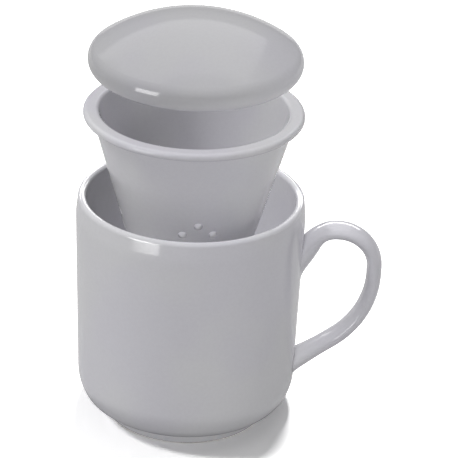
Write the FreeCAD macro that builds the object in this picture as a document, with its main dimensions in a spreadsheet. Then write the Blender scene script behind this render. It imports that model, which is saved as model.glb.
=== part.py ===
"""Lidded tea mug with a lift-out infuser: cup, luted-on handle, strainer and drain-cast lid.

Millimetres, +Z up, origin on the cup's axis in the plane its foot stands on.
The handle points along +X. The infuser and the lid hang above the cup, lifted out for use.
"""
import FreeCAD, Part
import math
import os
import re

import Sketcher

DRIVING_SIZES = {
    # cup
    "mug_height": 88.6,
    "rim_radius": 42.5,
    "rim_tuck": 0.8,
    "shoulder_drop": 7.0,
    "shoulder_round": 24.0,
    "lip_width": 2.9,
    "wall_lean": 1.7,
    "belly_height": 13.2,
    "heel_inset": 4.1,
    "heel_rise": 0.15,
    "heel_share": 0.54,
    "belly_share": 0.42,
    "cup_wall": 3.5,
    "cup_floor": 4.4,
    "cup_floor_round": 10.0,
    "foot_setback": 6.3,
    "foot_width": 3.2,
    "foot_height": 4.7,
    "foot_recess": 4.2,
    "foot_round": 0.6,
    # handle
    "handle_stand": 29.3,
    "handle_drop": 9.5,
    "handle_thickness": 5.7,
    "handle_width": 11.4,
    "handle_embed": 2.0,
    "handle_upper_drop": 25.1,
    "handle_upper_rise": 56.1,
    "crown_share": 0.26,
    "bend_share": 0.714,
    "sweep_share": 0.86,
    "handle_lower_root": 21.0,
    "handle_lower_slope": 35.8,
    "upper_flare": 12.0,
    "upper_flare_length": 16.4,
    "lower_flare": 2.8,
    "lower_flare_length": 13.4,
    "flare_width": 3.0,
    # infuser
    "infuser_depth": 50.0,
    "infuser_taper": 15.75,
    "infuser_wall": 2.8,
    "infuser_floor": 3.0,
    "infuser_play": 1.84,
    "infuser_heel_round": 9.0,
    "flange_overlap": 1.6,
    "flange_thickness": 3.0,
    "flange_mouth_round": 1.4,
    "hole_radius": 1.55,
    "flower_radius": 5.8,
    "flower_height": 13.2,
    "floor_ring_radius": 12.0,
    "infuser_turn": 6.8,
    "infuser_lift": 31.4,
    # lid
    "lid_setback": 1.4,
    "lid_dome": 16.0,
    "lid_depth": 7.8,
    "lid_edge_round": 5.5,
    "lid_wall": 3.4,
    "lid_ring_play": 6.0,
    "lid_ring_width": 3.0,
    "lid_lift": 11.7,
}

WORKED_OUT_SIZES = {
    # the cup's widths all follow from its rim, and its heel and belly corners are rounded by
    # a share of the run between them
    "belly_radius": "rim_radius - wall_lean",
    "heel_radius": "belly_radius - heel_inset",
    "foot_radius": "heel_radius - foot_setback",
    "heel_height": "foot_height + heel_rise",
    "heel_run": "sqrt((belly_radius - heel_radius)^2 + (belly_height - heel_height)^2)",
    "heel_slope": "atan2(belly_height - heel_height; belly_radius - heel_radius)",
    "wall_slope": "atan2(mug_height - shoulder_drop - belly_height; rim_radius - belly_radius)",
    "under_slope": "atan2(heel_rise; heel_radius - foot_radius)",
    "heel_round": "heel_share * heel_run / tan((heel_slope - under_slope) / 2)",
    "belly_round": "belly_share * heel_run / tan((wall_slope - heel_slope) / 2)",
    "lip_outer_radius": "rim_radius - rim_tuck",
    "lip_inner_radius": "lip_outer_radius - lip_width",
    "floor_height": "foot_recess + cup_floor",
    "foot_inner_radius": "foot_radius - foot_width",
    # the strap's centre line runs up from the cup, level over the crown, down its outer side and
    # back to the cup, and its bends take shares of the runs between its corners
    "handle_reach": "rim_radius + handle_stand",
    "handle_top": "mug_height - handle_drop",
    "handle_root": "rim_radius - handle_embed",
    "handle_side": "handle_reach - handle_thickness / 2",
    "handle_crown": "handle_top - handle_thickness / 2",
    "handle_upper_root": "mug_height - handle_upper_drop",
    "crown_start": "handle_root + (handle_crown - handle_upper_root) / tan(handle_upper_rise * 1 deg)",
    "crown_run": "handle_side - crown_start",
    "side_foot": "handle_lower_root + (handle_side - handle_root) * tan(handle_lower_slope * 1 deg)",
    "side_run": "handle_crown - side_foot",
    "handle_crown_round": "crown_share * crown_run * tan(90 deg - handle_upper_rise * 0.5 deg)",
    "handle_bend_round": "bend_share * crown_run",
    "sweep_run": "sweep_share * (side_run - handle_bend_round)",
    "handle_sweep_round": "sweep_run * tan(45 deg + handle_lower_slope * 0.5 deg)",
    # the infuser hangs by its flange on the cup's lip, with play all round
    "cone_radius": "lip_inner_radius - infuser_play",
    "flange_radius": "lip_inner_radius + flange_overlap",
    "infuser_height": "infuser_depth + flange_thickness",
    "base_radius": "cone_radius - infuser_depth * tan(infuser_taper * 1 deg)",
    "bore_shift": "infuser_wall / cos(infuser_taper * 1 deg)",
    "mouth_radius": "cone_radius - bore_shift + flange_thickness * tan(infuser_taper * 1 deg)",
    "bore_base_radius": "base_radius - bore_shift + infuser_floor * tan(infuser_taper * 1 deg)",
    # the lid is a dome arc on the axis, an edge arc round the widest ring and a flat cone below
    "lid_radius": "flange_radius - lid_setback",
    "edge_centre": "lid_radius - lid_edge_round",
    "dome_radius": "(edge_centre^2 + lid_dome^2 - lid_edge_round^2) / (2 * (lid_dome - lid_edge_round))",
    "dome_centre": "lid_depth + lid_dome - dome_radius",
    "dome_angle": "asin(edge_centre / (dome_radius - lid_edge_round))",
    "ring_radius": "mouth_radius - lid_ring_play",
    "ring_bore": "ring_radius - lid_ring_width",
    "ring_to_edge": "sqrt(lid_depth^2 + (edge_centre - ring_radius)^2)",
    "tuck_angle": "atan2(lid_depth; edge_centre - ring_radius) - asin(lid_edge_round / ring_to_edge)",
}

FLOWER_HOLE_COUNT = 5
FLOWER_COUNT = 4
FLOOR_HOLE_COUNT = 10
STRAP_SECTION_COUNT = 19
FLARE_SECTION_COUNT = 4
SECTION_POINT_COUNT = 16

doc = FreeCAD.newDocument("lidded_tea_mug")
sheet = doc.addObject("Spreadsheet::Sheet", "Sizes")


def fill_sheet():
    """Write the driving sizes as plain numbers, then the formulas that follow from them."""
    row = 1
    for name, value in DRIVING_SIZES.items():
        sheet.set("A%d" % row, name)
        sheet.set("B%d" % row, str(value))
        sheet.setAlias("B%d" % row, name)
        row += 1
    for name, formula in WORKED_OUT_SIZES.items():
        sheet.set("A%d" % row, name)
        sheet.set("B%d" % row, "=" + formula)
        sheet.setAlias("B%d" % row, name)
        row += 1
    doc.recompute()


def named(formula):
    """The formula with the sheet's name put before each of its sizes."""
    def with_sheet(match):
        word = match.group()
        return "Sizes." + word if word in DRIVING_SIZES or word in WORKED_OUT_SIZES else word
    return re.sub("[a-z_]+", with_sheet, formula)


def size(formula):
    """The formula's value now, as a bare number in millimetres or degrees."""
    value = sheet.evalExpression(named(formula))
    return float(getattr(value, "Value", value))


def origin_plane(body, role):
    return next(item for item in body.Origin.OriginFeatures if item.Role == role)


def new_sketch(body, name, role):
    sketch = body.newObject("Sketcher::SketchObject", name)
    sketch.AttachmentSupport = [(origin_plane(body, role), "")]
    sketch.MapMode = "FlatFace"
    return sketch


def bind(sketch, constraint, formula):
    """Add one dimension and tie it to the sheet."""
    index = sketch.addConstraint(constraint)
    sketch.setExpression("Constraints[%d]" % index, named(formula))


def pin(sketch, geometry, end, across, up):
    """Hold one point at its two distances from the sketch's origin."""
    if across == "0":
        sketch.addConstraint(Sketcher.Constraint("PointOnObject", geometry, end, -2))
    else:
        bind(sketch, Sketcher.Constraint("DistanceX", -1, 1, geometry, end, size(across)), across)
    if up == "0":
        sketch.addConstraint(Sketcher.Constraint("PointOnObject", geometry, end, -1))
    else:
        bind(sketch, Sketcher.Constraint("DistanceY", -1, 1, geometry, end, size(up)), up)


def arc_between(start, end, centre, anticlockwise):
    """An arc and the numbers of its start and end points as they are met along the outline."""
    first, last = (start, end) if anticlockwise else (end, start)
    begin = math.atan2(first.y - centre.y, first.x - centre.x)
    finish = math.atan2(last.y - centre.y, last.x - centre.x)
    if finish < begin:
        finish += 2 * math.pi
    circle = Part.Circle(centre, FreeCAD.Vector(0, 0, 1), (start - centre).Length)
    return Part.ArcOfCircle(circle, begin, finish), (1, 2) if anticlockwise else (2, 1)


def corner(across, up, rounding=None, arc=None):
    """A corner of an outline: its place, its own rounding, and the radius of an arc that leaves it.

    A positive arc radius turns left along the outline, and a minus sign before it turns right.
    """
    return {"across": across, "up": up, "round": rounding, "arc": arc}


def draw_outline(sketch, corners):
    """Draw a closed outline of lines and arcs, with every point and radius tied to the sheet."""
    count = len(corners)
    points = [FreeCAD.Vector(size(c["across"]), size(c["up"]), 0) for c in corners]
    entries = list(points)
    exits = list(points)
    centres = {}
    for k, c in enumerate(corners):
        if c["round"] is None:
            continue
        back = (points[k - 1] - points[k]).normalize()
        ahead = (points[(k + 1) % count] - points[k]).normalize()
        half = back.getAngle(ahead) / 2
        radius = size(c["round"])
        entries[k] = points[k] + back * (radius / math.tan(half))
        exits[k] = points[k] + ahead * (radius / math.tan(half))
        centres[k] = points[k] + (back + ahead).normalize() * (radius / math.sin(half))
    sides = []
    for k, c in enumerate(corners):
        start, end = exits[k], entries[(k + 1) % count]
        if c["arc"] is None:
            sides.append((sketch.addGeometry(Part.LineSegment(start, end), False), (1, 2)))
            continue
        left = not c["arc"].startswith("-")
        radius = size(c["arc"].lstrip("-"))
        chord = end - start
        across = FreeCAD.Vector(-chord.y, chord.x, 0).normalize() * (1 if left else -1)
        reach = math.sqrt(radius ** 2 - (chord.Length / 2) ** 2)
        arc, ends = arc_between(start, end, (start + end) * 0.5 + across * reach, left)
        side = sketch.addGeometry(arc, False)
        bind(sketch, Sketcher.Constraint("Radius", side, radius), c["arc"].lstrip("-"))
        sides.append((side, ends))
    for k, c in enumerate(corners):
        before, before_ends = sides[k - 1]
        after, after_ends = sides[k]
        if c["round"] is None:
            sketch.addConstraint(
                Sketcher.Constraint("Coincident", before, before_ends[1], after, after_ends[0]))
            pin(sketch, after, after_ends[0], c["across"], c["up"])
            continue
        turn = (points[k] - points[k - 1]).cross(points[(k + 1) % count] - points[k]).z
        arc, ends = arc_between(entries[k], exits[k], centres[k], turn > 0)
        rounding = sketch.addGeometry(arc, False)
        sketch.addConstraint(
            Sketcher.Constraint("Tangent", before, before_ends[1], rounding, ends[0]))
        sketch.addConstraint(
            Sketcher.Constraint("Tangent", rounding, ends[1], after, after_ends[0]))
        bind(sketch, Sketcher.Constraint("Radius", rounding, size(c["round"])), c["round"])
        point = sketch.addGeometry(Part.Point(points[k]), True)
        pin(sketch, point, 1, c["across"], c["up"])
        sketch.addConstraint(Sketcher.Constraint("PointOnObject", point, 1, before))
        sketch.addConstraint(Sketcher.Constraint("PointOnObject", point, 1, after))


def turned_body(label, outline):
    """A body thrown on the wheel: the outline turned once round the vertical axis."""
    body = doc.addObject("PartDesign::Body", label)
    body.Label = label
    sketch = new_sketch(body, label + "_outline", "XZ_Plane")
    draw_outline(sketch, outline)
    turning = body.newObject("PartDesign::Revolution", label + "_turning")
    turning.Profile = sketch
    turning.ReferenceAxis = (sketch, ["V_Axis"])
    turning.Angle = 360
    body.Tip = turning
    sketch.Visibility = False
    return body


def cup_outside():
    """Corners of the cup's outside, from the foot's standing edge up over the lip."""
    return [
        corner("foot_radius", "0", "foot_round"),
        corner("foot_radius", "foot_height"),
        corner("heel_radius", "heel_height", "heel_round"),
        corner("belly_radius", "belly_height", "belly_round"),
        corner("rim_radius", "mug_height - shoulder_drop", "shoulder_round"),
        corner("lip_outer_radius", "mug_height", "lip_width * 0.5"),
        corner("lip_inner_radius", "mug_height", "lip_width * 0.46"),
    ]


def make_cup():
    """The cup: leaning wall, rounded lip, soft heel and a recessed foot ring."""
    inside = [
        corner("belly_radius - cup_wall", "floor_height", "cup_floor_round"),
        corner("0", "floor_height"),
        corner("0", "foot_recess"),
        corner("foot_inner_radius", "foot_recess", "foot_round"),
        corner("foot_inner_radius", "0", "foot_round"),
    ]
    return turned_body("mug_cup", cup_outside() + inside)


def make_infuser():
    """The infuser: a conical strainer with a rounded flange, and holes in wall and floor."""
    body = turned_body("infuser", [
        corner("0", "0"),
        corner("base_radius", "0", "infuser_heel_round"),
        corner("cone_radius", "infuser_depth"),
        corner("flange_radius", "infuser_depth", "flange_thickness * 0.45"),
        corner("flange_radius", "infuser_height", "flange_thickness * 0.5"),
        corner("mouth_radius", "infuser_height", "flange_mouth_round"),
        corner("bore_base_radius", "infuser_floor", "infuser_heel_round - infuser_wall"),
        corner("0", "infuser_floor"),
    ])
    blank = body.Tip
    flower = new_sketch(body, "flower_holes", "XZ_Plane")
    for k in range(FLOWER_HOLE_COUNT):
        angle = "%g deg" % (360.0 * k / FLOWER_HOLE_COUNT)
        draw_hole(flower, "flower_radius * sin(%s)" % angle,
                  "flower_height + flower_radius * cos(%s)" % angle)
    wall_cut = body.newObject("PartDesign::Pocket", "flower_cut")
    wall_cut.Profile = flower
    wall_cut.Type = "Length"
    wall_cut.setExpression("Length", "Sizes.rim_radius")
    wall_cut.Reversed = cuts_reversed(body, wall_cut, blank)
    flowers = body.newObject("PartDesign::PolarPattern", "flowers_round_wall")
    flowers.Originals = [wall_cut]
    flowers.Axis = (flower, ["V_Axis"])
    flowers.Angle = 360
    flowers.Occurrences = FLOWER_COUNT
    body.Tip = flowers
    floor = new_sketch(body, "floor_holes", "XY_Plane")
    for ring, holes in (("flower_radius", FLOWER_HOLE_COUNT), ("floor_ring_radius", FLOOR_HOLE_COUNT)):
        for k in range(holes):
            angle = "%g deg" % (360.0 * k / holes)
            draw_hole(floor, "%s * sin(%s)" % (ring, angle), "%s * cos(%s)" % (ring, angle))
    floor_cut = body.newObject("PartDesign::Pocket", "floor_cut")
    floor_cut.Profile = floor
    floor_cut.Type = "Length"
    floor_cut.setExpression("Length", "Sizes.infuser_floor * 2")
    floor_cut.Reversed = cuts_reversed(body, floor_cut, flowers)
    body.Tip = floor_cut
    body.setExpression(
        "Placement.Base.z", "Sizes.mug_height + Sizes.infuser_lift - Sizes.infuser_depth")
    body.setExpression("Placement.Rotation.Angle", "Sizes.infuser_turn * 1 deg")
    return body


def draw_hole(sketch, across, up):
    """One strainer hole, centred at its two distances from the sketch's origin."""
    centre = FreeCAD.Vector(size(across), size(up), 0)
    circle = Part.Circle(centre, FreeCAD.Vector(0, 0, 1), size("hole_radius"))
    hole = sketch.addGeometry(circle, False)
    bind(sketch, Sketcher.Constraint("Radius", hole, size("hole_radius")), "hole_radius")
    for kind, place in (("DistanceX", across), ("DistanceY", up)):
        if abs(size(place)) < 1e-6:
            axis = -2 if kind == "DistanceX" else -1
            sketch.addConstraint(Sketcher.Constraint("PointOnObject", hole, 3, axis))
        else:
            bind(sketch, Sketcher.Constraint(kind, -1, 1, hole, 3, size(place)), place)


def cuts_reversed(body, cut, before):
    """Whether the cut has to be reversed to take material off the feature before it."""
    body.Tip = cut
    doc.recompute()
    return abs(cut.Shape.Volume - before.Shape.Volume) < 1e-3


def make_lid():
    """The lid: a hollow pebble of even wall, open below, that nests in the infuser's mouth."""
    dome_x = "%s * sin(dome_angle)"
    dome_z = "dome_centre + %s * cos(dome_angle)"
    edge_x = "edge_centre + %s * sin(tuck_angle)"
    edge_z = "lid_depth - %s * cos(tuck_angle)"
    inner_dome = "( dome_radius - lid_wall )"
    inner_edge = "( lid_edge_round - lid_wall )"
    tuck_top = edge_z % inner_edge + " - ( " + edge_x % inner_edge + " - ring_bore ) * tan(tuck_angle)"
    body = turned_body("lid", [
        corner("ring_bore", "0"),
        corner("ring_radius", "0"),
        corner(edge_x % "lid_edge_round", edge_z % "lid_edge_round", arc="lid_edge_round"),
        corner(dome_x % "dome_radius", dome_z % "dome_radius", arc="dome_radius"),
        corner("0", "lid_depth + lid_dome"),
        corner("0", "lid_depth + lid_dome - lid_wall", arc="-" + inner_dome),
        corner(dome_x % inner_dome, dome_z % inner_dome, arc="-" + inner_edge),
        corner(edge_x % inner_edge, edge_z % inner_edge),
        corner("ring_bore", tuck_top),
    ])
    body.setExpression(
        "Placement.Base.z",
        "Sizes.mug_height + Sizes.infuser_lift + Sizes.flange_thickness + Sizes.lid_lift")
    return body


def handle_centre_line():
    """The strap's centre line in the XZ plane: up from the cup, over the crown and back down."""
    corners = [FreeCAD.Vector(size(across), 0, size(up)) for across, up in (
        ("handle_root", "handle_upper_root"),
        ("crown_start", "handle_crown"),
        ("handle_side", "handle_crown"),
        ("handle_side", "side_foot"),
        ("handle_root", "handle_lower_root"),
    )]
    roundings = [size("handle_crown_round"), size("handle_bend_round"), size("handle_sweep_round")]
    edges = []
    here = corners[0]
    for k, radius in enumerate(roundings, start=1):
        back = (corners[k - 1] - corners[k]).normalize()
        ahead = (corners[k + 1] - corners[k]).normalize()
        half = back.getAngle(ahead) / 2
        run = radius / math.tan(half)
        entry = corners[k] + back * run
        leave = corners[k] + ahead * run
        centre = corners[k] + (back + ahead).normalize() * (radius / math.sin(half))
        middle = centre + (corners[k] - centre).normalize() * radius
        edges.append(Part.LineSegment(here, entry).toShape())
        edges.append(Part.Arc(entry, middle, leave).toShape())
        here = leave
    edges.append(Part.LineSegment(here, corners[-1]).toShape())
    return Part.Wire(edges)


def point_and_heading(wire, distance):
    """The point on the wire this far along it, and the way the wire runs there."""
    for edge in wire.Edges:
        if distance <= edge.Length + 1e-9:
            place = edge.getParameterByLength(min(distance, edge.Length))
            return edge.valueAt(place), edge.tangentAt(place)
        distance -= edge.Length
    last = wire.Edges[-1]
    return last.valueAt(last.LastParameter), last.tangentAt(last.LastParameter)


def smooth(share):
    """A share from 0 to 1 eased in and out."""
    share = min(1.0, max(0.0, share))
    return share * share * (3 - 2 * share)


def strap_section(wire, distance):
    """An oval across the strap, which spreads and stands upright where it meets the cup.

    The oval is centre + cos(a) * half thickness * across + sin(a) * half width * Y.
    """
    centre, heading = point_and_heading(wire, distance)
    upper = max(0.0, 1 - distance / size("upper_flare_length"))
    lower = max(0.0, 1 - (wire.Length - distance) / size("lower_flare_length"))
    spread = size("upper_flare") * upper ** 2 + size("lower_flare") * lower ** 2
    thickness = size("handle_thickness") + spread
    width = size("handle_width") + size("flare_width") * (upper ** 2 + lower ** 2)
    across = FreeCAD.Vector(-heading.z, 0, heading.x)
    upright = FreeCAD.Vector(0, 0, 1 if across.z > 0 else -1)
    lean = smooth(upper + lower)
    across = (across * (1 - lean) + upright * lean).normalize()
    points = []
    for k in range(SECTION_POINT_COUNT):
        angle = 2 * math.pi * k / SECTION_POINT_COUNT
        offset = across * (math.cos(angle) * thickness / 2)
        points.append(centre + offset + FreeCAD.Vector(0, math.sin(angle) * width / 2, 0))
    oval = Part.BSplineCurve()
    oval.interpolate(Points=points, PeriodicFlag=True)
    return Part.Wire(oval.toShape())


def make_handle():
    """The handle: an ear-shaped strap, its ends cut to lie against the cup's wall."""
    wire = handle_centre_line()
    upper = size("upper_flare_length")
    lower = size("lower_flare_length")
    strap = wire.Length - upper - lower
    stations = [upper * k / FLARE_SECTION_COUNT for k in range(FLARE_SECTION_COUNT)]
    stations += [upper + strap * k / (STRAP_SECTION_COUNT - 1) for k in range(STRAP_SECTION_COUNT)]
    stations += [wire.Length - lower * (FLARE_SECTION_COUNT - k) / FLARE_SECTION_COUNT
                 for k in range(1, FLARE_SECTION_COUNT + 1)]
    blank = doc.addObject("Part::Feature", "handle_blank")
    blank.Shape = Part.makeLoft([strap_section(wire, s) for s in stations], True, False)
    outside = cup_outside()[:-1]
    envelope = turned_body("cup_envelope", [corner("0", "0")] + outside + [corner("0", "mug_height")])
    handle = doc.addObject("Part::Cut", "mug_handle")
    handle.Label = "mug_handle"
    handle.Base = blank
    handle.Tool = envelope
    return handle


def check_document():
    """Stop if any object failed or any piece isn't one sound solid."""
    for item in doc.Objects:
        if "Invalid" in item.State or "Error" in item.State:
            raise RuntimeError("failed object: %s %s" % (item.Name, item.State))
    for piece in pieces:
        shape = piece.Shape
        if shape.isNull() or not shape.isValid() or len(shape.Solids) != 1:
            raise RuntimeError("unsound piece: %s" % piece.Label)
        print(piece.Label, "volume", round(shape.Volume, 1), "box", shape.BoundBox)


fill_sheet()
pieces = [make_cup(), make_handle(), make_infuser(), make_lid()]
doc.recompute()
check_document()
os.makedirs("parts", exist_ok=True)
for piece in pieces:
    piece.Shape.exportStep(os.path.join("parts", piece.Label + ".step"))
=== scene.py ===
"""A porcelain tea mug with a lift-out infuser and a pebble lid, dressed for the photograph."""

from math import radians

import bmesh
import bpy
import numpy as np
from mathutils import Matrix, Vector


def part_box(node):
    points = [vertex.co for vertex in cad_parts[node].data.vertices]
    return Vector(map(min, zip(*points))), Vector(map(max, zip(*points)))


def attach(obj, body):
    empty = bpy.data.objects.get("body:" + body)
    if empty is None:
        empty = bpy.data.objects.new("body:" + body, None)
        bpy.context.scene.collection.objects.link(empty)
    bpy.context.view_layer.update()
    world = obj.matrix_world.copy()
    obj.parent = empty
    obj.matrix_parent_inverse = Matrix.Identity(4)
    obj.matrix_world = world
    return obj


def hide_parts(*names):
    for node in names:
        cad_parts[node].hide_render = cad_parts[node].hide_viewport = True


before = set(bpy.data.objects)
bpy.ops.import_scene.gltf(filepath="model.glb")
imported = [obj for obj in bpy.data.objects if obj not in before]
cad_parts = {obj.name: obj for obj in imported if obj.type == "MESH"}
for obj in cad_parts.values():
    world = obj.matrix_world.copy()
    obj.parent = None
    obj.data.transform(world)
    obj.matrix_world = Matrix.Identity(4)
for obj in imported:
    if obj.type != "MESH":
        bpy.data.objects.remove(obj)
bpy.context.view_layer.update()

bl_info = {
    "name": "Porcelain tea mug",
    "version": (1, 0, 0),
    "blender": (4, 5, 0),
    "location": "View3D > Sidebar > Tea mug",
    "description": "Glazes the mug and its loose pieces, models the handle and sets the stage",
    "category": "Object",
}

MM = 0.001

# The handle's mesh.
STRAP_STEP = 0.4 * MM
STRAP_SIDES = 96
ARC_POINTS = 60
TUCK = 0.06 * MM
END_DEPTH = 3.0 * MM

# The glaze. The scales count features in a metre, and the edges are values of the noise.
PATCH_EDGES = (0.38, 0.62)
SOFT_EDGES = (0.3, 0.7)
CLOUD_SCALE = 900.0
CLOUD_TONES = (0.985, 1.01)
WAVE_SCALE = 70.0
PEEL_SCALE = 650.0
PEEL_SHARE = 0.03
ROUGHNESS_CHANGE = (-0.02, 0.03)
BARE_ROUGHNESS = 0.6
BARE_RUN = 0.4 * MM
GLAZE_IOR = 1.52
BARE_NOWHERE = -1.0
CUP_BARE_BELOW = 0.15 * MM
LID_BARE_EDGE = 0.1 * MM

# The stage.
FLOOR_HALF = 3.0
SENSOR_WIDTH = 36.0
LIT_POINT = Vector((0, 0, 0.075))
LAMP_DISTANCE = 0.85
GLINT_DISTANCE = 0.29

# Softboxes: azimuth clockwise from +Y and elevation in degrees, then width and height in metres.
WINDOW = (-132, 9, (0.36, 0.36))
GLINT = (-141, -1, (0.13, 0.10))
OVERHEAD = (-8, 58, (1.0, 0.9))
STRIP = (0, 22, (1.0, 0.15))

# Parallel lights: azimuth, elevation and how wide the light looks, all in degrees.
TOP_KEY = (10, 79, 6)
LEFT_KEY = (-92, 45, 12)
FRONT_FILL = (180, -12, 20)
HOLLOW_FILL = (-130, 45, 20)
RIGHT_FILL = (105, 8, 30)


def length(name, about, default):
    """A length in metres that the panel shows in the scene's own unit."""
    return bpy.props.FloatProperty(
        name=name, description=about, default=default,
        subtype="DISTANCE", unit="LENGTH", precision=5)


def tint(name, about, default):
    """A colour in the scene's linear light."""
    return bpy.props.FloatVectorProperty(
        name=name, description=about, default=default, subtype="COLOR", size=3, min=0.0, max=1.0)


class HandleSettings(bpy.types.PropertyGroup):
    """Sizes of the strap handle and of the slip fillets that join it to the cup."""
    rim: length("Rim radius", "Widest radius of the cup's wall", 42.5 * MM)
    lean: length("Wall lean", "How much the wall draws in from the rim to the belly", 1.7 * MM)
    belly: length("Belly height", "Height at which the wall begins to lean", 13.2 * MM)
    shoulder: length("Shoulder height", "Height at which the wall turns in to the lip", 81.6 * MM)
    embed: length("Embed", "How far the centre line starts inside the rim radius", 2.0 * MM)
    reach: length("Reach", "Outermost radius of the strap", 71.8 * MM)
    top: length("Top", "Highest point of the strap", 79.1 * MM)
    thickness: length("Thickness", "Strap thickness in the plane of the handle", 5.7 * MM)
    width: length("Width", "Strap width across the plane of the handle", 11.4 * MM)
    upper_root: length("Upper root", "Height of the centre line where it leaves the cup", 63.5 * MM)
    upper_rise: bpy.props.FloatProperty(
        name="Upper rise", description="Slope of the strap as it leaves the cup",
        default=radians(56.1), subtype="ANGLE", unit="ROTATION")
    crown_round: length("Crown round", "Bend radius on the cup's side of the crown", 9.7 * MM)
    bend_round: length("Bend round", "Bend radius on the outer side of the crown", 14.2 * MM)
    sweep_round: length("Sweep round", "Bend radius of the long lower sweep", 34.5 * MM)
    lower_root: length(
        "Lower root", "Height at which the centre line comes back to the cup", 21.0 * MM)
    lower_slope: bpy.props.FloatProperty(
        name="Lower slope", description="Slope of the strap as it comes back to the cup",
        default=radians(35.8), subtype="ANGLE", unit="ROTATION")
    upper_flare: length("Upper flare", "Extra thickness at the upper root", 12.0 * MM)
    upper_flare_length: length("Upper flare length", "Run of the upper flare", 16.4 * MM)
    lower_flare: length("Lower flare", "Extra thickness at the lower root", 2.8 * MM)
    lower_flare_length: length("Lower flare length", "Run of the lower flare", 13.4 * MM)
    flare_width: length("Flare width", "Extra width at both roots", 3.0 * MM)
    fillet: length("Slip fillet", "Reach of the smoothed slip round each root", 1.3 * MM)


class GlazeSettings(bpy.types.PropertyGroup):
    """Colours and finish of the porcelain's clear glaze."""
    cool: tint("Cool grey", "The body's colour where it looks bluish", (0.385, 0.380, 0.408))
    warm: tint("Warm grey", "The body's colour where it looks neutral", (0.398, 0.396, 0.410))
    biscuit: tint("Biscuit", "Bare fired clay on the foot's standing edge", (0.60, 0.58, 0.55))
    roughness: bpy.props.FloatProperty(
        name="Roughness", description="Roughness of the glaze", default=0.1, min=0.0, max=1.0)
    patch: length("Patch size", "Size of the soft patches of colour", 45.0 * MM)
    ripple: length("Ripple height", "Height of the glaze's gentle waves", 0.05 * MM)


class StageSettings(bpy.types.PropertyGroup):
    """The camera, the lamps and the floor."""
    distance: length("Distance", "From the camera to the point it looks at", 1000.0 * MM)
    aim_across: length("Aim across", "How far right of the axis the camera looks", 14.33 * MM)
    aim_height: length("Aim height", "Height at which the camera looks", 74.84 * MM)
    elevation: bpy.props.FloatProperty(
        name="Elevation", description="Height of the view above the horizon",
        default=radians(26.31), subtype="ANGLE", unit="ROTATION")
    roll: bpy.props.FloatProperty(
        name="Roll", description="Turn of the camera about its own line of sight",
        default=radians(2.33), subtype="ANGLE", unit="ROTATION")
    lens: bpy.props.FloatProperty(
        name="Lens", description="Focal length in millimetres on a 36 mm sensor", default=212.12)
    floor: tint("Floor", "Colour of the floor", (0.55, 0.55, 0.55))
    floor_gain: bpy.props.FloatProperty(
        name="Floor gain", description="How much paler the floor is where it is seen", default=3.3)
    mirrored: bpy.props.FloatProperty(
        name="White in the glaze",
        description="Share of the white surroundings that the glaze mirrors",
        default=0.06, min=0.0, max=1.0)
    sky_strength: bpy.props.FloatProperty(
        name="Room strength", description="Strength of the light from all round", default=0.22)
    top_key: bpy.props.FloatProperty(
        name="Top key", description="Strength of the parallel light from above", default=1.8)
    left_key: bpy.props.FloatProperty(
        name="Left key", description="Strength of the parallel light from the left", default=1.35)
    window_power: bpy.props.FloatProperty(
        name="Window power", description="Power of the small low softbox in watts", default=3.0)
    glint_power: bpy.props.FloatProperty(
        name="Glint power", description="Power of the near lamp in the cup's shoulder, in watts",
        default=0.36)
    overhead_power: bpy.props.FloatProperty(
        name="Overhead power", description="Power of the big softbox over the back in watts",
        default=1.8)
    strip_power: bpy.props.FloatProperty(
        name="Strip power", description="Power of the low strip behind in watts", default=3.0)
    front_fill: bpy.props.FloatProperty(
        name="Front fill", description="Strength of the even light from the front", default=0.95)
    hollow_fill: bpy.props.FloatProperty(
        name="Hollow fill", description="Strength of the even light into the hollows", default=1.7)
    right_fill: bpy.props.FloatProperty(
        name="Right fill", description="Strength of the even light from the right", default=1.4)


def mesh_object(name, points, faces):
    """A smooth-shaded mesh object at the origin, made from arrays of points and faces."""
    mesh = bpy.data.meshes.new(name)
    mesh.from_pydata(points.tolist(), [], faces)
    mesh.validate()
    mesh.shade_smooth()
    thing = bpy.data.objects.new(name, mesh)
    bpy.context.collection.objects.link(thing)
    return thing


def grid_faces(rows, columns):
    """Quads between neighbouring rows of a grid whose columns run round and close."""
    row, column = np.meshgrid(np.arange(rows - 1), np.arange(columns), indexing="ij")
    here = row * columns + column
    beside = row * columns + (column + 1) % columns
    return np.stack([here, beside, beside + columns, here + columns], -1).reshape(-1, 4).tolist()


def rounded_path(corners, roundings, step):
    """Points along straight runs joined by tangent arcs, evenly spaced by about step.

    Each inner corner is cut back by radius / tan(half angle) on both sides, and the arc between
    those points is centre + radius * (cos, sin) turned evenly from one to the other.
    """
    stretches = [corners[:1]]
    for k, radius in enumerate(roundings, start=1):
        back = (corners[k - 1] - corners[k]) / np.linalg.norm(corners[k - 1] - corners[k])
        ahead = (corners[k + 1] - corners[k]) / np.linalg.norm(corners[k + 1] - corners[k])
        half = np.arccos(np.clip(back @ ahead, -1, 1)) / 2
        toward = (back + ahead) / np.linalg.norm(back + ahead)
        centre = corners[k] + toward * radius / np.sin(half)
        start = corners[k] + back * radius / np.tan(half) - centre
        end = corners[k] + ahead * radius / np.tan(half) - centre
        turn = np.pi - 2 * half
        share = np.linspace(0, 1, ARC_POINTS)[:, None]
        arc = (np.sin((1 - share) * turn) * start + np.sin(share * turn) * end) / np.sin(turn)
        stretches.append(centre + arc)
    stretches.append(corners[-1:])
    points = np.vstack(stretches)
    along = np.r_[0, np.cumsum(np.linalg.norm(np.diff(points, axis=0), axis=1))]
    even = np.linspace(0, along[-1], int(along[-1] / step) + 1)
    return np.stack([np.interp(even, along, points[:, axis]) for axis in (0, 1)], 1), even


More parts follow.
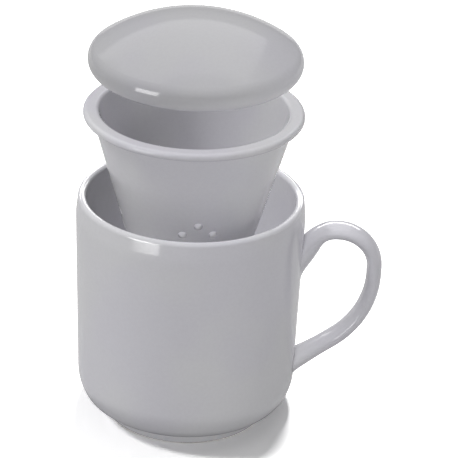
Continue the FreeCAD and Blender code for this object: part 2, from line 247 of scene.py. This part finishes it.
def wall_radius(height, handle):
    """The cup's outer radius at a height: a straight lean from the belly to the shoulder."""
    share = (height - handle.belly) / (handle.shoulder - handle.belly)
    return handle.rim - handle.lean * (1 - share)


def wall_reach(points_y, points_z, handle):
    """How far along X the cup's wall lies at each Y and Z."""
    return np.sqrt(wall_radius(points_z, handle) ** 2 - points_y ** 2)


def handle_surface(handle):
    """The strap as an oval carried along its centre line and smoothed onto the cup's wall.

    The oval is centre + cos(a) * half thickness * across + sin(a) * half width * Y, where across
    eases from square to the strap to upright at the cup, and thickness and width grow there with
    the square of the flare. Where a point's gap to the wall is under the fillet f, the gap becomes
    (gap + f)^2 / (4 f), which meets the wall with no edge, and deeper points lie just under it.
    The part within the fillet also sinks a little, by up to the tuck, so that no crack shows.
    """
    root = handle.rim - handle.embed
    side = handle.reach - handle.thickness / 2
    top = handle.top - handle.thickness / 2
    corners = np.array([
        (root, handle.upper_root),
        (root + (top - handle.upper_root) / np.tan(handle.upper_rise), top),
        (side, top),
        (side, handle.lower_root + (side - root) * np.tan(handle.lower_slope)),
        (root, handle.lower_root),
    ])
    roundings = (handle.crown_round, handle.bend_round, handle.sweep_round)
    centre, along = rounded_path(corners, roundings, STRAP_STEP)
    heading = np.gradient(centre, axis=0)
    heading /= np.linalg.norm(heading, axis=1)[:, None]
    upper = np.clip(1 - along / handle.upper_flare_length, 0, 1)
    lower = np.clip(1 - (along[-1] - along) / handle.lower_flare_length, 0, 1)
    lean = (upper + lower) ** 2 * (3 - 2 * (upper + lower))
    across = np.stack([-heading[:, 1], heading[:, 0]], 1)
    upright = np.stack([np.zeros(len(along)), np.where(across[:, 1] > 0, 1.0, -1.0)], 1)
    across = across * (1 - lean)[:, None] + upright * lean[:, None]
    across /= np.linalg.norm(across, axis=1)[:, None]
    half_thick = (handle.thickness + handle.upper_flare * upper ** 2
                  + handle.lower_flare * lower ** 2) / 2
    half_wide = (handle.width + handle.flare_width * (upper ** 2 + lower ** 2)) / 2
    around = np.linspace(0, 2 * np.pi, STRAP_SIDES, endpoint=False)
    x = centre[:, :1] + across[:, :1] * half_thick[:, None] * np.cos(around)
    z = centre[:, 1:] + across[:, 1:] * half_thick[:, None] * np.cos(around)
    y = half_wide[:, None] * np.sin(around)
    wall = wall_reach(y, z, handle)
    gap = x - wall
    fillet = handle.fillet
    eased = np.where(gap > fillet, gap, (gap + fillet) ** 2 / (4 * fillet))
    sunk = TUCK * (gap < fillet) * (1 - gap / fillet) / 2
    proud = np.where(gap > -fillet, eased - sunk, -TUCK)
    return np.stack([wall + proud, y, z], -1)


def closed_strap(grid):
    """Points and faces of the strap's grid, with a fan over each end that lies inside the wall."""
    rows, columns = grid.shape[:2]
    points = grid.reshape(-1, 3)
    inward = np.array([END_DEPTH, 0, 0])
    ends = np.array([grid[0].mean(axis=0) - inward, grid[-1].mean(axis=0) - inward])
    faces = grid_faces(rows, columns)
    first, last = rows * columns, rows * columns + 1
    ring = np.arange(columns)
    beside = (ring + 1) % columns
    faces += np.stack([np.full(columns, first), beside, ring], 1).tolist()
    base = (rows - 1) * columns
    faces += np.stack([np.full(columns, last), base + ring, base + beside], 1).tolist()
    return np.vstack([points, ends]), faces


def outward(thing):
    """Turn a closed mesh's faces outwards."""
    work = bmesh.new()
    work.from_mesh(thing.data)
    bmesh.ops.recalc_face_normals(work, faces=work.faces)
    work.to_mesh(thing.data)
    work.free()


class Nodes:
    """Short ways to add and join the nodes of one tree."""

    def __init__(self, tree):
        self.tree = tree
        tree.nodes.clear()

    def add(self, kind, inputs=None, **settings):
        """Add a node, set its properties, and give each input a value or a link."""
        node = self.tree.nodes.new(kind)
        for key, value in settings.items():
            setattr(node, key, value)
        for key, value in (inputs or {}).items():
            if isinstance(value, bpy.types.NodeSocket):
                self.tree.links.new(value, node.inputs[key])
            else:
                node.inputs[key].default_value = value
        return node

    def maths(self, operation, first, second=0.0, clamp=False):
        """One sum, product or the like of two values."""
        node = self.add(
            "ShaderNodeMath", {0: first, 1: second}, operation=operation, use_clamp=clamp)
        return node.outputs[0]

    def ramp(self, value, low, high, start=0.0, end=1.0):
        """A smooth change from start to end while the value goes from low to high."""
        node = self.add("ShaderNodeMapRange", {
            "Value": value, "From Min": low, "From Max": high, "To Min": start, "To Max": end},
            interpolation_type="SMOOTHSTEP")
        return node.outputs["Result"]

    def mix(self, share, first, second):
        """A blend of two colours, with the share of the second one."""
        node = self.add("ShaderNodeMix", data_type="RGBA", clamp_factor=True)
        for key, value in ((0, share), (6, first), (7, second)):
            if isinstance(value, bpy.types.NodeSocket):
                self.tree.links.new(value, node.inputs[key])
            else:
                node.inputs[key].default_value = value
        return node.outputs[2]


def opaque(colour):
    """A colour with full alpha."""
    return (*colour, 1.0)


def glaze_group():
    """Clear glaze over porcelain: soft colour patches, gentle waves and a bare foot edge."""
    tree = bpy.data.node_groups.new("glazed_porcelain", "ShaderNodeTree")
    for name, kind in (("Cool", "NodeSocketColor"), ("Warm", "NodeSocketColor"),
                       ("Biscuit", "NodeSocketColor"), ("Roughness", "NodeSocketFloat"),
                       ("Patch Size", "NodeSocketFloat"), ("Ripple", "NodeSocketFloat"),
                       ("Bare Below", "NodeSocketFloat")):
        tree.interface.new_socket(name, in_out="INPUT", socket_type=kind)
    for name, kind in (("Color", "NodeSocketColor"), ("Roughness", "NodeSocketFloat"),
                       ("Normal", "NodeSocketVector")):
        tree.interface.new_socket(name, in_out="OUTPUT", socket_type=kind)
    n = Nodes(tree)
    given = n.add("NodeGroupInput").outputs
    place = n.add("ShaderNodeTexCoord").outputs["Object"]
    height = n.add("ShaderNodeSeparateXYZ", {"Vector": place}).outputs["Z"]
    patch_scale = n.maths("DIVIDE", 1.0, given["Patch Size"])
    patches = n.add("ShaderNodeTexNoise", {
        "Vector": place, "Scale": patch_scale, "Detail": 2.0, "Roughness": 0.45})
    patch = n.ramp(patches.outputs["Fac"], *PATCH_EDGES)
    colour = n.mix(patch, given["Cool"], given["Warm"])
    fine = n.add("ShaderNodeTexNoise", {
        "Vector": place, "Scale": CLOUD_SCALE, "Detail": 3.0, "Roughness": 0.6})
    cloud = n.ramp(fine.outputs["Fac"], *SOFT_EDGES, *CLOUD_TONES)
    clouded = n.add("ShaderNodeVectorMath", {0: colour, "Scale": cloud}, operation="SCALE")
    glazed = n.ramp(height, given["Bare Below"], n.maths("ADD", given["Bare Below"], BARE_RUN))
    final = n.mix(glazed, given["Biscuit"], clouded.outputs["Vector"])
    wide_waves = n.add("ShaderNodeTexNoise", {
        "Vector": place, "Scale": WAVE_SCALE, "Detail": 1.0, "Roughness": 0.4})
    peel = n.add("ShaderNodeTexNoise", {
        "Vector": place, "Scale": PEEL_SCALE, "Detail": 1.0, "Roughness": 0.5})
    waves = n.add("ShaderNodeBump", {
        "Strength": 1.0, "Distance": given["Ripple"], "Height": wide_waves.outputs["Fac"]})
    skin = n.add("ShaderNodeBump", {
        "Strength": 1.0, "Distance": n.maths("MULTIPLY", given["Ripple"], PEEL_SHARE),
        "Height": peel.outputs["Fac"], "Normal": waves.outputs["Normal"]})
    change = n.ramp(patches.outputs["Fac"], *SOFT_EDGES, *ROUGHNESS_CHANGE)
    uneven = n.maths("ADD", given["Roughness"], change)
    bare = n.maths("SUBTRACT", 1.0, glazed)
    rough = n.maths("ADD", uneven, n.maths("MULTIPLY", bare, BARE_ROUGHNESS), clamp=True)
    n.add("NodeGroupOutput", {
        "Color": final, "Roughness": rough, "Normal": skin.outputs["Normal"]})
    return tree


def glaze_material(name, glaze, bare_below):
    """One piece's glaze: the shared group feeding a smooth, slightly uneven glossy surface."""
    group = bpy.data.node_groups.get("glazed_porcelain") or glaze_group()
    material = bpy.data.materials.new(name)
    material.use_nodes = True
    n = Nodes(material.node_tree)
    surface = n.add("ShaderNodeGroup", node_tree=group)
    for key, value in (("Cool", opaque(glaze.cool)), ("Warm", opaque(glaze.warm)),
                       ("Biscuit", opaque(glaze.biscuit)), ("Roughness", glaze.roughness),
                       ("Patch Size", glaze.patch), ("Ripple", glaze.ripple),
                       ("Bare Below", bare_below)):
        surface.inputs[key].default_value = value
    shader = n.add("ShaderNodeBsdfPrincipled", {
        "Base Color": surface.outputs["Color"], "Roughness": surface.outputs["Roughness"],
        "Normal": surface.outputs["Normal"], "IOR": GLAZE_IOR})
    n.add("ShaderNodeOutputMaterial", {"Surface": shader.outputs["BSDF"]})
    return material


class MUG_OT_glaze(bpy.types.Operator):
    """Glaze the cup, the infuser and the lid"""
    bl_idname = "tea_mug.glaze"
    bl_label = "Glaze the turned pieces"

    def execute(self, context):
        glaze = context.scene.mug_glaze
        bare_below = {
            "mug_cup": CUP_BARE_BELOW,
            "infuser": BARE_NOWHERE,
            "lid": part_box("lid")[0][2] + LID_BARE_EDGE,
        }
        for node, height in bare_below.items():
            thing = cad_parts[node]
            thing.data.materials.clear()
            thing.data.materials.append(glaze_material(node + "_glaze", glaze, height))
        return {"FINISHED"}


class MUG_OT_handle(bpy.types.Operator):
    """Model the strap handle with its slip fillets"""
    bl_idname = "tea_mug.handle"
    bl_label = "Luted handle"

    def execute(self, context):
        points, faces = closed_strap(handle_surface(context.scene.mug_handle))
        handle = mesh_object("luted_handle", points, faces)
        outward(handle)
        handle.data.materials.append(
            glaze_material("handle_glaze", context.scene.mug_glaze, BARE_NOWHERE))
        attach(handle, "mug")
        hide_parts("mug_handle")
        return {"FINISHED"}


def toward(azimuth, elevation):
    """The unit vector at an azimuth clockwise from +Y and an elevation, both in degrees."""
    turn, rise = radians(azimuth), radians(elevation)
    return Vector((np.sin(turn) * np.cos(rise), np.cos(turn) * np.cos(rise), np.sin(rise)))


def lamp_object(name, lamp, place, heading):
    """Put a lamp at a place, shining along a heading."""
    thing = bpy.data.objects.new(name, lamp)
    turn = heading.to_track_quat("-Z", "Y").to_matrix().to_4x4()
    thing.matrix_world = Matrix.Translation(place) @ turn
    bpy.context.collection.objects.link(thing)
    return thing


def softbox(name, place, power, distance=LAMP_DISTANCE):
    """A rectangular area lamp on a sphere round the object, facing its middle."""
    azimuth, elevation, (width, height) = place
    lamp = bpy.data.lights.new(name, "AREA")
    lamp.shape = "RECTANGLE"
    lamp.size = width
    lamp.size_y = height
    lamp.energy = power
    away = toward(azimuth, elevation)
    return lamp_object(name, lamp, LIT_POINT + away * distance, -away)


def sunlight(name, place, strength, shadows=True):
    """Parallel light that the glaze doesn't mirror."""
    azimuth, elevation, spread = place
    lamp = bpy.data.lights.new(name, "SUN")
    lamp.energy = strength
    lamp.angle = radians(spread)
    lamp.use_shadow = shadows
    away = toward(azimuth, elevation)
    thing = lamp_object(name, lamp, LIT_POINT + away * LAMP_DISTANCE, -away)
    thing.visible_glossy = False
    return thing


def left_out(name, things):
    """A collection that leaves some objects out of a lamp's light or of its shadows."""
    collection = bpy.data.collections.new(name)
    for thing in things:
        collection.objects.link(thing)
    for link in collection.collection_objects:
        link.light_linking.link_state = "EXCLUDE"
    return collection


def spare(lamp, *things):
    """Leave some objects out of what a lamp lights."""
    lamp.light_linking.receiver_collection = left_out(lamp.name + "_spares", things)


def let_through(lamp, *things):
    """Let a lamp's light pass some objects without a shadow."""
    lamp.light_linking.blocker_collection = left_out(lamp.name + "_passes", things)


def seen_directly(n, mirrored):
    """1 for rays from the camera or through glass, mirrored for rays off the glaze, 0 for light."""
    path = n.add("ShaderNodeLightPath").outputs
    glossy = n.maths("MULTIPLY", path["Is Glossy Ray"], mirrored)
    direct = n.maths("ADD", path["Is Camera Ray"], glossy)
    return n.maths("ADD", direct, path["Is Transmission Ray"], clamp=True)


def make_floor(stage):
    """A wide plain floor that is paler where it is seen, so that only its shadow isn't white."""
    corners = ((-1, -1, 0), (1, -1, 0), (1, 1, 0), (-1, 1, 0))
    points = np.array(corners) * FLOOR_HALF
    floor = mesh_object("floor", points, [(0, 1, 2, 3)])
    material = bpy.data.materials.new("floor_paper")
    material.use_nodes = True
    n = Nodes(material.node_tree)
    lit = n.add("ShaderNodeBsdfDiffuse", {"Color": opaque(stage.floor)})
    paler = np.array(stage.floor) * stage.floor_gain
    seen = n.add("ShaderNodeBsdfDiffuse", {"Color": opaque(paler)})
    pick = n.add("ShaderNodeMixShader", {
        0: seen_directly(n, stage.mirrored), 1: lit.outputs[0], 2: seen.outputs[0]})
    n.add("ShaderNodeOutputMaterial", {"Surface": pick.outputs[0]})
    floor.data.materials.append(material)
    return floor


def make_room(scene, stage):
    """Even light from all round, and white where the room itself is seen."""
    world = bpy.data.worlds.new("room")
    world.use_nodes = True
    n = Nodes(world.node_tree)
    white = opaque((1.0, 1.0, 1.0))
    lit = n.add("ShaderNodeBackground", {"Color": white, "Strength": stage.sky_strength})
    seen = n.add("ShaderNodeBackground", {"Color": white, "Strength": 1.0})
    pick = n.add("ShaderNodeMixShader", {
        0: seen_directly(n, stage.mirrored), 1: lit.outputs[0], 2: seen.outputs[0]})
    n.add("ShaderNodeOutputWorld", {"Surface": pick.outputs[0]})
    scene.world = world


def make_camera(scene, stage):
    """The photograph's view: level azimuth, raised, slightly rolled, with a long lens."""
    data = bpy.data.cameras.new("camera")
    data.sensor_width = SENSOR_WIDTH
    data.lens = stage.lens
    camera = bpy.data.objects.new("camera", data)
    aim = Vector((stage.aim_across, 0, stage.aim_height))
    ahead = Vector((0, np.cos(stage.elevation), -np.sin(stage.elevation)))
    right = Vector((1, 0, 0))
    up = right.cross(ahead)
    rolled_right = right * np.cos(stage.roll) + up * np.sin(stage.roll)
    rolled_up = up * np.cos(stage.roll) - right * np.sin(stage.roll)
    turn = Matrix((rolled_right, rolled_up, -ahead)).transposed().to_4x4()
    camera.matrix_world = Matrix.Translation(aim - ahead * stage.distance) @ turn
    bpy.context.collection.objects.link(camera)
    scene.camera = camera


def lit_pieces():
    """The cup, the infuser, the lid and the modelled handle."""
    turned = [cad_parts[name] for name in ("mug_cup", "infuser", "lid")]
    return *turned, bpy.data.objects["luted_handle"]


def make_keys(stage, floor):
    """The main lights. The infuser has its own copy of each, in which it shades itself.

    The lid and the handle shade nothing in them, and the infuser shades only itself.
    """
    cup, infuser, lid, handle = lit_pieces()
    for name, place, strength in (("top_key", TOP_KEY, stage.top_key),
                                  ("left_key", LEFT_KEY, stage.left_key)):
        key = sunlight(name, place, strength)
        let_through(key, lid, handle, infuser)
        spare(key, infuser)
        infuser_key = sunlight(name + "_on_infuser", place, strength)
        let_through(infuser_key, lid, handle)
        spare(infuser_key, floor, cup, handle, lid)


class MUG_OT_stage(bpy.types.Operator):
    """Set the floor, the room, the lamps and the camera"""
    bl_idname = "tea_mug.stage"
    bl_label = "Stage"

    def execute(self, context):
        scene = context.scene
        stage = scene.mug_stage
        scene.view_settings.view_transform = "Standard"
        floor = make_floor(stage)
        make_room(scene, stage)
        cup, infuser, lid, handle = lit_pieces()
        # The window and the glint show only as highlights in the glaze.
        window = softbox("window", WINDOW, stage.window_power)
        glint = softbox("glint", GLINT, stage.glint_power, GLINT_DISTANCE)
        for lamp in (window, glint):
            lamp.visible_diffuse = False
        overhead = softbox("overhead", OVERHEAD, stage.overhead_power)
        strip = softbox("strip", STRIP, stage.strip_power)
        strip.data.use_shadow = False
        make_keys(stage, floor)
        # The fills are even lights that soften the shade on the object and leave the floor alone.
        front = sunlight("front_fill", FRONT_FILL, stage.front_fill)
        hollow = sunlight("hollow_fill", HOLLOW_FILL, stage.hollow_fill, shadows=False)
        right = sunlight("right_fill", RIGHT_FILL, stage.right_fill)
        let_through(front, lid, handle, cup, floor)
        spare(overhead, floor)
        spare(glint, floor, lid, infuser, handle)
        spare(front, floor)
        spare(right, floor)
        spare(hollow, floor, lid)
        spare(strip, floor, lid, infuser)
        make_camera(scene, stage)
        return {"FINISHED"}


class MUG_PT_panel(bpy.types.Panel):
    """The mug's pieces and stage in the sidebar"""
    bl_idname = "MUG_PT_panel"
    bl_label = "Tea mug"
    bl_space_type = "VIEW_3D"
    bl_region_type = "UI"
    bl_category = "Tea mug"

    def draw(self, context):
        """One button for each operator and one box for each group of settings."""
        for operator in OPERATORS:
            self.layout.operator(operator.bl_idname)
        for group in SETTINGS:
            box = self.layout.box()
            for name in SETTINGS[group].__annotations__:
                box.prop(getattr(context.scene, group), name)


OPERATORS = (MUG_OT_glaze, MUG_OT_handle, MUG_OT_stage)
SETTINGS = {"mug_handle": HandleSettings, "mug_glaze": GlazeSettings, "mug_stage": StageSettings}


def register():
    for group, settings in SETTINGS.items():
        bpy.utils.register_class(settings)
        setattr(bpy.types.Scene, group, bpy.props.PointerProperty(type=settings))
    for item in (*OPERATORS, MUG_PT_panel):
        bpy.utils.register_class(item)


def unregister():
    for item in (MUG_PT_panel, *reversed(OPERATORS)):
        bpy.utils.unregister_class(item)
    for group, settings in SETTINGS.items():
        delattr(bpy.types.Scene, group)
        bpy.utils.unregister_class(settings)


def main():
    register()
    bpy.ops.tea_mug.glaze()
    bpy.ops.tea_mug.handle()
    bpy.ops.tea_mug.stage()


if __name__ == "__main__":
    main()
